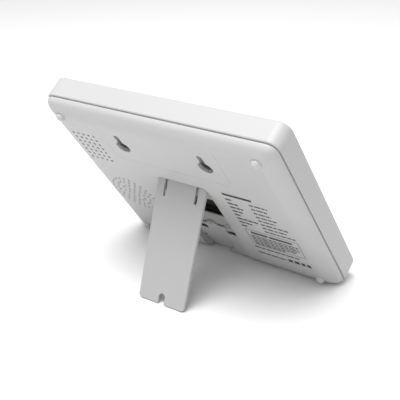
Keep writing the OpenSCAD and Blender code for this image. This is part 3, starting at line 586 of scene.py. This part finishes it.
def keyhole(cx):
    """The outline of a keyhole: a round part below a slot with a round end."""
    a = math.degrees(math.acos(KEYHOLE_SLOT / KEYHOLE_R))
    pts = arc(cx, KEYHOLE_Z, KEYHOLE_R, 180 - a, 360 + a, 44)
    return pts + arc(cx, KEYHOLE_TIP - KEYHOLE_SLOT, KEYHOLE_SLOT, 0, 180, 14)


def small_hole(x, z, r):
    """A round hole through the cover's wall, with a softened mouth."""
    return prism(circle(x, z, r, 20), TOTAL - WALL - 1, TOTAL, 0.12, 1.0)


holes = [prism(keyhole(s * KEYHOLE_X), TOTAL - WALL - 0.5, TOTAL, 0.28, 1.0) for s in (-1, 1)]
for i in range(VENT_COLUMNS):
    for k in range(VENT_ROWS):
        holes.append(small_hole(VENT_X + VENT_PITCH * i, VENT_Z + VENT_PITCH * k, VENT_R))
for ring in range(GRILLE_RINGS):
    count = max(1, 6 * ring)
    for i in range(count):
        a = 2 * math.pi * i / count
        out = GRILLE_PITCH * ring
        holes.append(small_hole(GRILLE_X + out * math.cos(a), GRILLE_Z + out * math.sin(a), GRILLE_R))
carve(holes)

# The recess itself, the trough for the hinge's barrels, the window and the relief below it
carve([prism(across_middle(RECESS, -3, RECESS_TOP, [0, 0, RECESS_R, RECESS_R], 10),
             SHELF, TOTAL, 0.25, 1.0)])
carve([prism(circle(AXIS_Y, HINGE_Z, BARREL + 0.3, 48), -RECESS + 0.01, RECESS - 0.01, axis=along_x)])
carve([prism(across_middle(WIN_X, WIN_Z0, WIN_Z1, 0.4), HINGE_IN - 1, SHELF, 0.2, 0.4)])
carve([prism(across_middle(13.2, WIN_Z0 - 4.4, WIN_Z0 + 1, 0.4), BLOCK_IN - 1, SHELF)])

# The catch plate's seat, and the seats of its ears
carve([prism(across_middle(RECESS - 0.02, PLATE_Z0 - 0.2, WIN_Z0 + 1, 0.1, 3),
             SHELF - PLATE_T, SHELF + 0.5)])
ear_seats = both_sides(EAR_X, EAR_W / 2 + 0.5, EAR_Z0 - 0.3, PLATE_Z0 + 0.05, 0.5)
carve([prism(o, SHELF - PLATE_T - 0.001, SHELF, 0.15, 0.4) for o in ear_seats])

# Slots under the ears and beside the nib, and the hole for the leg's pip
SLOT_X, SLOT_HALF, SLOT_Z0, SLOT_Z1 = 10.8, 3.7, 30.2, 34.1
NIB_SLOT_X, NIB_SLOT_HALF, NIB_SLOT_Z0 = 5.05, 3.25, PLATE_Z0 - 2.7
FLOOR_T = 0.7  # of the recess's floor, thinned from behind beside the slots
slots = both_sides(SLOT_X, SLOT_HALF, SLOT_Z0, SLOT_Z1, 0.4)
slots += both_sides(NIB_SLOT_X, NIB_SLOT_HALF, NIB_SLOT_Z0, PLATE_Z0 + 0.1, 0.3)
carve([prism(o, BLOCK_IN - 1, SHELF, 0.12, 0.4) for o in slots]
      + [prism(circle(PIP_X, PIP_Z, 1.15, 24), SHELF - 2.2, SHELF, 0.15, 0.4)])
behind_slots = both_sides(SLOT_X, SLOT_HALF, SLOT_Z0 - 3.6, SLOT_Z0 + 0.1, 0.3, 3)
behind_nib_slots = both_sides(
    NIB_SLOT_X, NIB_SLOT_HALF, NIB_SLOT_Z0 - 4.8, NIB_SLOT_Z0 + 0.1, 0.3, 3)
carve([prism(o, BLOCK_IN - 2, SHELF - FLOOR_T) for o in behind_slots]
      + [prism(o, BLOCK_IN - 1, SHELF - FLOOR_T) for o in behind_nib_slots])


def ramp_ring(grow, share, lift):
    """One ring of the hollow, wider by grow; share is how much of its depth is left there."""
    r, start, steps = RAMP_R + grow, RAMP_TOP - 0.4, 36
    curve = [start + (RAMP_LOW - start) * k / steps for k in range(steps + 1)]
    pts = [(RAMP_X - r, RAMP_TOP + grow)]
    pts += [(RAMP_X - math.sqrt(r * r - (z - RAMP_TOP) ** 2), z) for z in curve]
    pts += [(RAMP_SIDE, RAMP_LOW), (RAMP_SIDE, RAMP_TOP + grow)]
    slope = math.tan(math.radians(RAMP_SLOPE)) * share
    return [Vector((x, SHELF - max(0.0, RAMP_TOP - z) * slope + lift, z)) for x, z in pts]


rings = []
for k in range(6):
    a = math.radians(18 * k)
    rings.append(ramp_ring(RAMP_EDGE * (1 - math.cos(a)), 1 - math.sin(a), 0.001 + 0.01 * k))
rings.append([Vector((p.x, TOTAL + 1, p.z)) for p in rings[-1]])
carve([loft(rings)])


def field_groove():
    """A fine line round the upper field: down one side, along the bottom and up the other."""
    half, low_z, r, top, step = 41.0, 100.0, 4.0, 134.0, 0.5
    down = [top - step * k for k in range(60)]
    path = [(half, z) for z in down] + arc(half - r, low_z + r, r, 0, -90, 12)
    path += arc(-half + r, low_z + r, r, -90, -180, 12) + [(-half, z) for z in reversed(down)]
    clean = [path[0]]
    for p in path[1:]:
        if math.dist(p, clean[-1]) > 0.05:
            clean.append(p)
    # The line's section: half its width at each depth
    above, mouth, bed = (0.14, TOTAL + 0.5), (0.09, TOTAL), (0.04, TOTAL - 0.12)
    profile = [(-w, y) for w, y in (above, mouth, bed)] + [bed, mouth, above]
    rings = []
    for i, p in enumerate(clean):
        a, b = clean[max(0, i - 1)], clean[min(len(clean) - 1, i + 1)]
        d = Vector((b[0] - a[0], b[1] - a[1])).normalized()
        n = Vector((-d.y, d.x))
        rings.append([Vector((p[0] + n.x * off, y, p[1] + n.y * off)) for off, y in profile])
    return loft(rings)


carve([field_groove()])
cover.data.transform(PANEL)
finish_piece(cover, "case", "case_white", WHITE, "back_cover", degrees=28)


# ---------- stand leg ----------
def leg_outline(top):
    """The leg seen square on, hanging down from its axis: slits at the hinge, notch at the foot."""
    foot_r, notch_r, notch_h, edge_r = 2.2, 2.2, 6.4, 0.4
    low = -LEG_LEN
    pts = arc(-FOOT_HALF + foot_r, low + foot_r, foot_r, 180, 270, 12)
    pts += arc(-notch_r - edge_r, low + edge_r, edge_r, 270, 360, 5)
    pts += arc(0, low + notch_h - notch_r, notch_r, 180, 0, 20)
    pts += arc(notch_r + edge_r, low + edge_r, edge_r, 180, 270, 5)
    pts += arc(FOOT_HALF - foot_r, low + foot_r, foot_r, 270, 360, 12)
    pts += [(LEG_HALF, -1.0), (LEG_HALF, top)]
    for s in (1, -1):
        pts += [(s * SLIT_X + SLIT_R, top)]
        pts += arc(s * SLIT_X, -SLIT_LEN + SLIT_R, SLIT_R, 0, -180, 16)
        pts += [(s * SLIT_X - SLIT_R, top)]
    return pts + [(-LEG_HALF, top), (-LEG_HALF, -1.0)]


def barrel(x0, x1, r, end0, end1, n=56):
    """A hinge barrel along x whose two ends are rounded by end0 and end1."""
    turns = [math.radians(11.25 * k) for k in range(9)]
    rings = [(x0 + end0 * (1 - math.sin(a)), r - end0 * (1 - math.cos(a))) for a in reversed(turns)]
    rings += [(x1 - end1 * (1 - math.sin(a)), r - end1 * (1 - math.cos(a))) for a in turns]
    return loft([along_x(circle(0, 0, q, n), x) for x, q in rings])


SLIT_IN, SLIT_OUT = SLIT_X - SLIT_R, SLIT_X + SLIT_R
PIN_R, PIN_IN, PIN_OUT = 1.2, 16.5, 19.6
leg = add("stand_leg_shell", *slab(leg_outline(0.3), 0.0, LEG_T, 0.3, 5), place=None)
# The barrels between and beside the slits
cut(leg, [
    barrel(-SLIT_IN, SLIT_IN, BARREL, 0.3, 0.3),
    barrel(SLIT_OUT, LEG_HALF, BARREL, 0.3, 1.6),
    barrel(-LEG_HALF, -SLIT_OUT, BARREL, 1.6, 0.3),
], place=None, how="UNION")
# The two pins, the lug that stops the leg when it is open, and the pip
cut(leg, [
    barrel(PIN_IN, PIN_OUT, PIN_R, 0.1, 0.2, 32),
    barrel(-PIN_OUT, -PIN_IN, PIN_R, 0.2, 0.1, 32),
    slab(across_middle(7, 0.4, 3.4, 0.2, 3), -2.1, -0.3, 0.2),
    prism(circle(PIP_X, PIP_Z - HINGE_Z, 0.8, 24), -1.5, 1.0),
], place=None, how="UNION")
# A hollow in the leg's inner face for the catch plate's nib
nib_room = across_middle(3.35, PLATE_Z0 - 0.5 - HINGE_Z, PLATE_Z0 + 3.1 - HINGE_Z, 0.4)
cut(leg, [prism(nib_room, -1, 1.1)], place=None)
leg.data.transform(LEG)
finish_piece(leg, "leg", "leg_white", LEG_SHADED_WHITE, "stand_leg")


# ---------- catch plate ----------
def plate_outline():
    """The plate across the recess, with two ears that reach down to its screws."""
    z1 = WIN_Z0 - 0.05
    half, r = RECESS - 0.12, 0.6
    pts = []
    for s in (-1, 1):
        a, b = s * EAR_X - EAR_W / 2, s * EAR_X + EAR_W / 2
        pts += [(a, PLATE_Z0)] + arc(a + r, EAR_Z0 + r, r, 180, 270, 5)
        pts += arc(b - r, EAR_Z0 + r, r, 270, 360, 5) + [(b, PLATE_Z0)]
    return [(-half, PLATE_Z0)] + pts + [(half, PLATE_Z0), (half, z1), (-half, z1)]


def screw_seat(x):
    """The shallow round seat of a screw's head in an ear."""
    return prism(circle(x, PLATE_Z0 + 0.4, 2.5, 32), SHELF - PLATE_T / 2, SHELF, 0.1, 0.5)


NIB_H = 1.2
nib = slab(across_middle(3, PLATE_Z0 + 0.15, PLATE_Z0 + 2.6, 0.4, 5), SHELF - 0.5, SHELF + NIB_H, 0.3)
plate = add("leg_catch_plate_shell", *slab(plate_outline(), SHELF - PLATE_T, SHELF, 0.12, 2))
cut(plate, [nib], how="UNION")
cut(plate, [screw_seat(s * EAR_X) for s in (-1, 1)])
finish_piece(plate, "case", "plate_white", PLATE_SHADED_WHITE, "leg_catch_plate")


# ---------- bumper feet ----------
FOOT_X, FOOT_EDGE, FOOT_R, FOOT_H = 67.8, 10.5, 2.9, 2.2
DOME = (FOOT_R**2 + FOOT_H**2) / (2 * FOOT_H)


def turned(cx, cz, section, n=40):
    """A piece turned about an axis along y; section is a list of (radius, y)."""
    return loft([[Vector((x, y, z)) for x, z in circle(cx, cz, r, n)] for r, y in section])


foot = [(2.4, TOTAL - 0.4), (FOOT_R - 0.12, TOTAL - 0.4), (FOOT_R - 0.02, TOTAL + 0.02)]
reach = math.asin(FOOT_R / DOME)
for k in range(1, 12):
    a = reach * (1 - k / 11.3)
    foot.append((DOME * math.sin(a), TOTAL + FOOT_H - DOME + DOME * math.cos(a)))
domes = [turned(x, z, foot) for x in (-FOOT_X, FOOT_X) for z in (FOOT_EDGE, CASE_H - FOOT_EDGE)]
feet = add("bumper_foot_domes", *merge(domes))
finish_piece(feet, "case", "foot_white", FOOT, "bumper_feet", degrees=50)


# ---------- keys and power knob ----------
KEY_PROUD, KEY_DOME = 0.35, 0.5
for i, name in enumerate(KEYS):
    z = KEY_Z0 + i * KEY_PITCH
    cap = stadium(KEY_Y, z, KEY_R, KEY_LONG)
    rings = [along_x(cap, WALL_IN - 0.8), along_x(cap, SIDE + KEY_PROUD)]
    for k in range(1, 7):
        a = math.radians(15 * k)
        outline = shrink(cap, KEY_DOME * (1 - math.cos(a)))
        rings.append(along_x(outline, SIDE + KEY_PROUD + KEY_DOME * math.sin(a)))
    rings.append(along_x(shrink(cap, 1.1), SIDE + 0.9))
    # The flange behind the wall keeps the key from falling out
    behind = rounded(KEY_Y - 2.4, z - 3.0, KEY_Y + 2.1, z + 3.0, 0.3, 3)
    key = add(name + "_key_cap", *loft(rings))
    cut(key, [prism(behind, WALL_IN - 1.3, WALL_IN - 0.3, axis=along_x)], how="UNION")
    finish_piece(key, name + "_key", "key_grey", KEY, name + "_button")

KNOB_HALF_Y, KNOB_HALF_Z = 1.0, 1.3
stem = side_box(SWITCH_Y, SWITCH_Z, KNOB_HALF_Y, KNOB_HALF_Z, 0.25)
flange = side_box(SWITCH_Y, SWITCH_Z, KNOB_HALF_Y, 2.2, 0.2, 3)
grips = [side_box(SWITCH_Y, SWITCH_Z + s * 0.5, 2, 0.15, 0.05, 2) for s in (-1, 1)]
knob = add("power_knob_cap", *slab(stem, WALL_IN - 1.5, SIDE + 0.7, 0.2, 3, along_x))
cut(knob, [prism(flange, WALL_IN - 2, WALL_IN - 1, axis=along_x)], how="UNION")
cut(knob, [prism(o, SIDE + 0.4, SIDE + 1, axis=along_x) for o in grips])
finish_piece(knob, "power_slide", "key_grey", KEY, "power_switch_knob")


# ---------- generic print: plain bars, a ruled box and no lettering ----------
marks = []


def bar_mark(x0, x1, z, h):
    """A printed bar from x0 to x1 as seen from behind, centred on height z."""
    outline = rounded(-x1, z - h / 2, -x0, z + h / 2, min(h, 0.3) * 0.3, 2)
    marks.append(prism(outline, TOTAL - 0.01, TOTAL + 0.03))


def line_of_bars(x0, x1, z, h, sizes, space=0.9):
    """A line of bars of height h from x0 to x1; their lengths repeat the given sizes."""
    x, k = x0, 0
    while x < x1 - 0.5:
        w = min(sizes[k % len(sizes)], x1 - x)
        bar_mark(x, x + w, z, h)
        x += w + space
        k += 1


# A heading and two columns of short lines
MARGIN, COLUMN = 29.1, 45.0
line_of_bars(MARGIN, 48.5, 88.8, 2.2, [19.4])
rows = [83.5, 79.4, 75.3, 71.3, 67.4, 63.4, 59.4, 55.4]
left_ends = [33, 37, 38, 37, 34, 43.5, 38, 34]
right_ends = [57, 56, 56.5, 58.7, 56.5, 64, 61, 65.4]
for z, left_end, right_end in zip(rows, left_ends, right_ends):
    line_of_bars(MARGIN, left_end, z, 1.5, [3.9, 2.6, 3.2], 0.5)
    start = COLUMN if left_end < 43 else COLUMN + 0.5
    line_of_bars(start, right_end, z, 1.3, [2.8, 4.1, 2.2, 3.4], 0.6)

# A box of fine lines that holds a heading and six dense lines
BOX_X0, BOX_X1, BOX_Z0, BOX_Z1, BOX_LINE = 29.8, 65.4, 34.0, 51.9, 0.35
for z in (BOX_Z1, BOX_Z0):
    bar_mark(BOX_X0, BOX_X1, z, BOX_LINE)
for x in (BOX_X0, BOX_X1):
    bar_mark(x - 0.17, x + 0.17, (BOX_Z0 + BOX_Z1) / 2, 17.5)
line_of_bars(33.0, 61, 48.8, 2.1, [11.5, 15.5], 1.0)
for z, end in [(45.2, 64), (43.2, 63), (41.2, 64), (39.2, 62), (37.2, 60), (35.4, 52)]:
    line_of_bars(31.4, end, z, 1.0, [3.4, 2.6, 4.4, 3.1, 2.4], 0.5)

# Two lines below the box, and a row of plain blocks
line_of_bars(29, 60.0, 30.6, 1.4, [4.2, 2.8, 5.2], 0.6)
line_of_bars(29, 49.0, 23.8, 1.4, [5.0, 3.4], 0.6)
line_of_bars(50.5, 66.0, 24.4, 3.4, [3.0, 3.6, 2.6], 1.2)
prints = add("print_bars", *merge(marks))
finish_piece(prints, "case", "grey_plastic", INK)

# ---------- floor and light, in metres ----------
FLOOR_HALF = 3
floor_mat = moulded("floor", (0.86, 0.86, 0.86), rough=0.8, grain=0.0, mottle=0.0)
corners = [(x * FLOOR_HALF, y * FLOOR_HALF, 0) for x, y in [(-1, -1), (1, -1), (1, 1), (-1, 1)]]
floor = add("floor", corners, [(0, 1, 2, 3)], place=None)
floor.data.materials.append(floor_mat)

SKY_STRENGTH = 0.64
world = bpy.data.worlds.new("studio")
scene.world = world
world.use_nodes = True
sky = world.node_tree.nodes["Background"]
sky.inputs["Color"].default_value = (1, 1, 1, 1)
sky.inputs["Strength"].default_value = SKY_STRENGTH


def turn_to(target, where):
    """The rotation of a lamp or a level camera at where that looks at the target."""
    return (Vector(target) - Vector(where)).to_track_quat("-Z", "Y")


def lamp(name, where, watts, size):
    """A round soft lamp over the object."""
    data = bpy.data.lights.new(name, "AREA")
    data.energy = watts
    data.shape = "DISK"
    data.size = size
    o = bpy.data.objects.new(name, data)
    scene.collection.objects.link(o)
    o.location = where
    o.rotation_euler = turn_to((0, 0, 0.06), where).to_euler()


lamp("key_light", (0.02, 0.24, 1.12), watts=15.5, size=0.9)
lamp("rear_light", (0.10, 1.10, 1.05), watts=1.0, size=1.0)

# ---------- camera: from behind and above, close and slightly rolled, as in the photograph ----------
LENS, SENSOR, ROLL = 72.58, 36.0, math.radians(-2.69)
eye = PANEL @ Vector((-268.18, 184.62, 428.27))
aim = PANEL @ Vector((-6.68, TOTAL, 72.79))
cam_data = bpy.data.cameras.new("camera")
cam_data.lens = LENS
cam_data.sensor_width = SENSOR
cam_data.clip_start = 0.01
camera = bpy.data.objects.new("camera", cam_data)
scene.collection.objects.link(camera)
turned_to = turn_to(aim, eye).to_matrix() @ Matrix.Rotation(ROLL, 3, "Z")
camera.matrix_world = Matrix.Translation(eye) @ turned_to.to_4x4()
scene.camera = camera
scene.view_settings.view_transform = "Standard"

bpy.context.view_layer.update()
